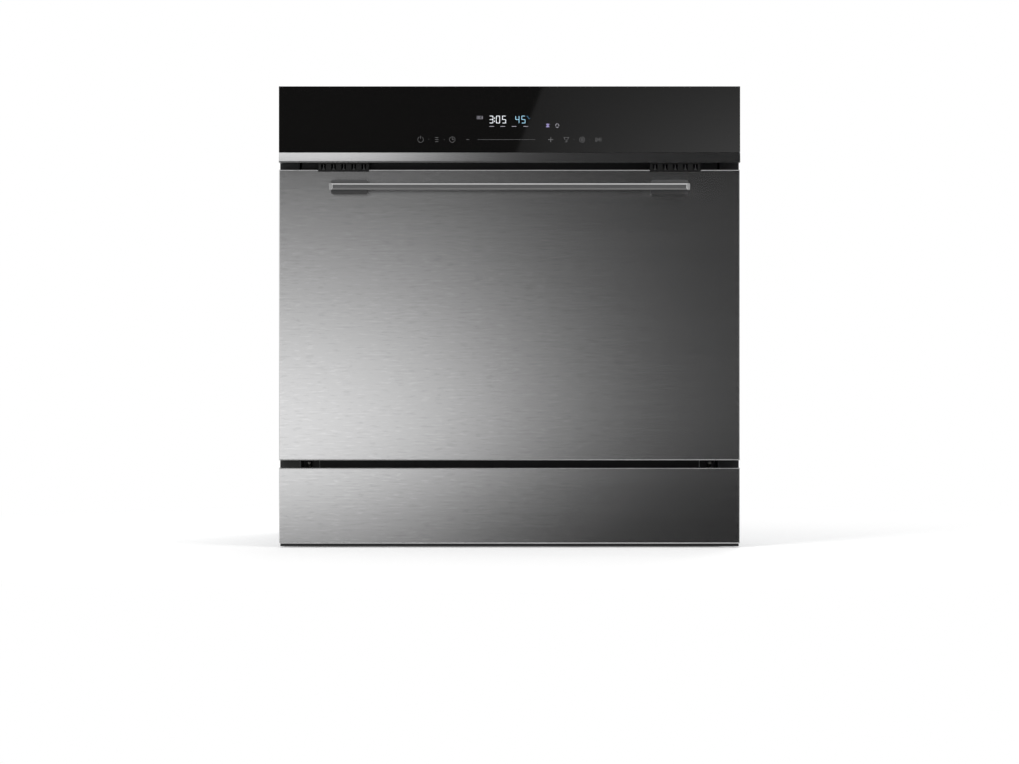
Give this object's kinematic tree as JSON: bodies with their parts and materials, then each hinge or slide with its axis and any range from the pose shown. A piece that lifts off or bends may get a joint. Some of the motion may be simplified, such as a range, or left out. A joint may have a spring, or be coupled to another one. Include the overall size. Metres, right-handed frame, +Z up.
{
  "type": "dishwasher",
  "caption": "Built-in compact dishwasher with a black glass control head, brushed steel drop-down door with bar handle, racks and spray arms inside.",
  "frame": {"origin": "on the floor under the middle of the outline, at the feet's resting plane", "axes": "+Z up, front with the door and handle faces -Y, +X to the right seen from the front"},
  "size_m": [0.595, 0.538, 0.595],
  "materials": {
    "brushed_front": "fine horizontal brushing",
    "stainless": "satin stainless sheet",
    "handle_steel": "satin, bright chamfers",
    "black_glass": "black-backed polished glass",
    "black_plastic": "moulded",
    "grey_plastic": "moulded",
    "white_plastic": "moulded",
    "light_grey_plastic": "moulded",
    "galvanised": "zinc-coated sheet",
    "dark_frame": "satin dark paint",
    "rack_wire": "grey coated wire",
    "rubber_black": "soft",
    "felt": "bitumen-backed felt",
    "board_green": "circuit board",
    "pump_metal": "cast",
    "zinc": "zinc-plated steel",
    "spring_steel": "spring steel",
    "air_break_clear": "translucent moulded",
    "trim_metal": "bright brushed"
  },
  "bodies": {
    "cabinet": {"base_tray": "black_plastic", "side_panel_right": "galvanised", "side_panel_left": "galvanised", "top_panel": "galvanised", "back_panel": "galvanised", "front_frame": "dark_frame", "toe_plate": "dark_frame", "lower_panel": "brushed_front", "tub": "stainless", "door_gasket": "rubber_black", "control_glass": "black_glass", "control_housing": "black_plastic", "control_board": "board_green", "trim_strip": "trim_metal", "vent_grille_left": "black_plastic", "vent_grille_right": "black_plastic", "sump": "grey_plastic", "flat_filter": "stainless", "circulation_pump": "pump_metal", "drain_pump": "black_plastic", "drain_outlet": "rubber_black", "water_softener": "white_plastic", "inlet_valve": "white_plastic", "mains_inlet": "black_plastic", "air_break": "air_break_clear", "spray_feed": "grey_plastic", "door_lock": "black_plastic", "hinge_brackets": "zinc", "door_springs": "spring_steel", "rack_guides": "grey_plastic"},
    "door": {"door_skin": "brushed_front", "door_liner": "stainless", "door_insulation": "felt", "handle_bar": "handle_steel", "handle_posts": "handle_steel", "hinge_arms": "zinc", "dispenser_body": "light_grey_plastic", "door_strike": "zinc"},
    "detergent_lid_body": {"detergent_lid": "light_grey_plastic"},
    "rinse_aid_cap_body": {"rinse_aid_cap": "grey_plastic"},
    "dispenser_button_body": {"dispenser_button": "grey_plastic"},
    "lower_rack_body": {"lower_rack": "rack_wire", "cutlery_basket": "grey_plastic"},
    "lower_wheels_front_body": {"lower_wheels_front": "light_grey_plastic"},
    "lower_wheels_rear_body": {"lower_wheels_rear": "light_grey_plastic"},
    "tine_row_body": {"tine_row": "rack_wire"},
    "upper_rack_body": {"upper_rack": "rack_wire"},
    "cup_shelf_right_body": {"cup_shelf_right": "rack_wire"},
    "cup_shelf_left_body": {"cup_shelf_left": "rack_wire"},
    "upper_spray_arm_body": {"upper_spray_arm": "grey_plastic"},
    "lower_spray_arm_body": {"lower_spray_arm": "grey_plastic"},
    "filter_cup_body": {"filter_cup": "grey_plastic"},
    "salt_cap_body": {"salt_cap": "white_plastic"},
    "float_body": {"float_bell": "light_grey_plastic"},
    "rack_rollers_front_body": {"rack_rollers_front": "white_plastic"},
    "rack_rollers_rear_body": {"rack_rollers_rear": "white_plastic"},
    "foot_1_body": {"foot_1": "black_plastic"},
    "foot_2_body": {"foot_2": "black_plastic"},
    "foot_3_body": {"foot_3": "black_plastic"},
    "foot_4_body": {"foot_4": "black_plastic"}
  },
  "joints": [
    {"name": "door_hinge", "type": "hinge", "parent": "cabinet", "child": "door", "pos_m": [0, -0.219, 0.1205], "axis": [1, 0, 0], "range_deg": [0, 90], "deforming": ["door_springs"]},
    {"name": "detergent_lid_slide", "type": "slide", "parent": "door", "child": "detergent_lid_body", "axis": [-1, 0, 0], "range_m": [0, 0.066]},
    {"name": "rinse_aid_cap_turn", "type": "hinge", "parent": "door", "child": "rinse_aid_cap_body", "pos_m": [0.062, -0.182, 0.275], "axis": [0, 1, 0], "range_deg": [0, 90]},
    {"name": "dispenser_button_press", "type": "slide", "parent": "door", "child": "dispenser_button_body", "axis": [0, -1, 0], "range_m": [0, 0.003], "stiffness_N_per_m": 600},
    {"name": "lower_rack_slide", "type": "slide", "parent": "cabinet", "child": "lower_rack_body", "axis": [0, -1, 0], "range_m": [0, 0.1302]},
    {"name": "lower_wheels_front_roll", "type": "hinge", "parent": "lower_rack_body", "child": "lower_wheels_front_body", "pos_m": [0, -0.079, 0.1758], "axis": [1, 0, 0], "range_deg": [0, 440]},
    {"name": "lower_wheels_rear_roll", "type": "hinge", "parent": "lower_rack_body", "child": "lower_wheels_rear_body", "pos_m": [0, 0.154, 0.1758], "axis": [1, 0, 0], "range_deg": [0, 440]},
    {"name": "tine_row_fold", "type": "hinge", "parent": "lower_rack_body", "child": "tine_row_body", "pos_m": [0, -0.031, 0.1903], "axis": [-1, 0, 0], "range_deg": [0, 85]},
    {"name": "upper_rack_slide", "type": "slide", "parent": "cabinet", "child": "upper_rack_body", "axis": [0, -1, 0], "range_m": [0, 0.2902]},
    {"name": "cup_shelf_right_fold", "type": "hinge", "parent": "upper_rack_body", "child": "cup_shelf_right_body", "pos_m": [0.2145, 0.025, 0.386], "axis": [0, 1, 0], "range_deg": [0, 90]},
    {"name": "cup_shelf_left_fold", "type": "hinge", "parent": "upper_rack_body", "child": "cup_shelf_left_body", "pos_m": [-0.2145, 0.025, 0.386], "axis": [0, -1, 0], "range_deg": [0, 90]},
    {"name": "upper_spray_arm_spin", "type": "hinge", "parent": "upper_rack_body", "child": "upper_spray_arm_body", "pos_m": [0, 0.024, 0.32], "axis": [0, 0, 1], "continuous": true},
    {"name": "lower_spray_arm_spin", "type": "hinge", "parent": "cabinet", "child": "lower_spray_arm_body", "pos_m": [0, 0.024, 0.171], "axis": [0, 0, 1], "continuous": true},
    {"name": "filter_cup_turn", "type": "hinge", "parent": "cabinet", "child": "filter_cup_body", "pos_m": [0, -0.056, 0.152], "axis": [0, 0, 1], "range_deg": [0, 90]},
    {"name": "salt_cap_turn", "type": "hinge", "parent": "cabinet", "child": "salt_cap_body", "pos_m": [-0.1725, -0.093, 0.154], "axis": [0, 0, 1], "range_deg": [0, 270]},
    {"name": "float_lift", "type": "slide", "parent": "cabinet", "child": "float_body", "axis": [0, 0, 1], "range_m": [0, 0.008]},
    {"name": "rack_rollers_front_roll", "type": "hinge", "parent": "cabinet", "child": "rack_rollers_front_body", "pos_m": [0, -0.139, 0.395], "axis": [1, 0, 0], "range_deg": [0, 2030]},
    {"name": "rack_rollers_rear_roll", "type": "hinge", "parent": "cabinet", "child": "rack_rollers_rear_body", "pos_m": [0, -0.099, 0.395], "axis": [1, 0, 0], "range_deg": [0, 2030]},
    {"name": "foot_1_level", "type": "slide", "parent": "cabinet", "child": "foot_1_body", "axis": [0, 0, -1], "range_m": [0, 0.015]},
    {"name": "foot_2_level", "type": "slide", "parent": "cabinet", "child": "foot_2_body", "axis": [0, 0, -1], "range_m": [0, 0.015]},
    {"name": "foot_3_level", "type": "slide", "parent": "cabinet", "child": "foot_3_body", "axis": [0, 0, -1], "range_m": [0, 0.015]},
    {"name": "foot_4_level", "type": "slide", "parent": "cabinet", "child": "foot_4_body", "axis": [0, 0, -1], "range_m": [0, 0.015]}
  ],
  "couplings": [
    {"joint": "lower_rack_slide", "follows": "door_hinge", "m_per_rad": 0.082761},
    {"joint": "upper_rack_slide", "follows": "door_hinge", "m_per_rad": 0.18462},
    {"joint": "lower_wheels_front_roll", "follows": "door_hinge", "ratio": 4.8683},
    {"joint": "lower_wheels_rear_roll", "follows": "door_hinge", "ratio": 4.8683},
    {"joint": "rack_rollers_front_roll", "follows": "door_hinge", "ratio": 22.515},
    {"joint": "rack_rollers_rear_roll", "follows": "door_hinge", "ratio": 22.515}
  ]
}
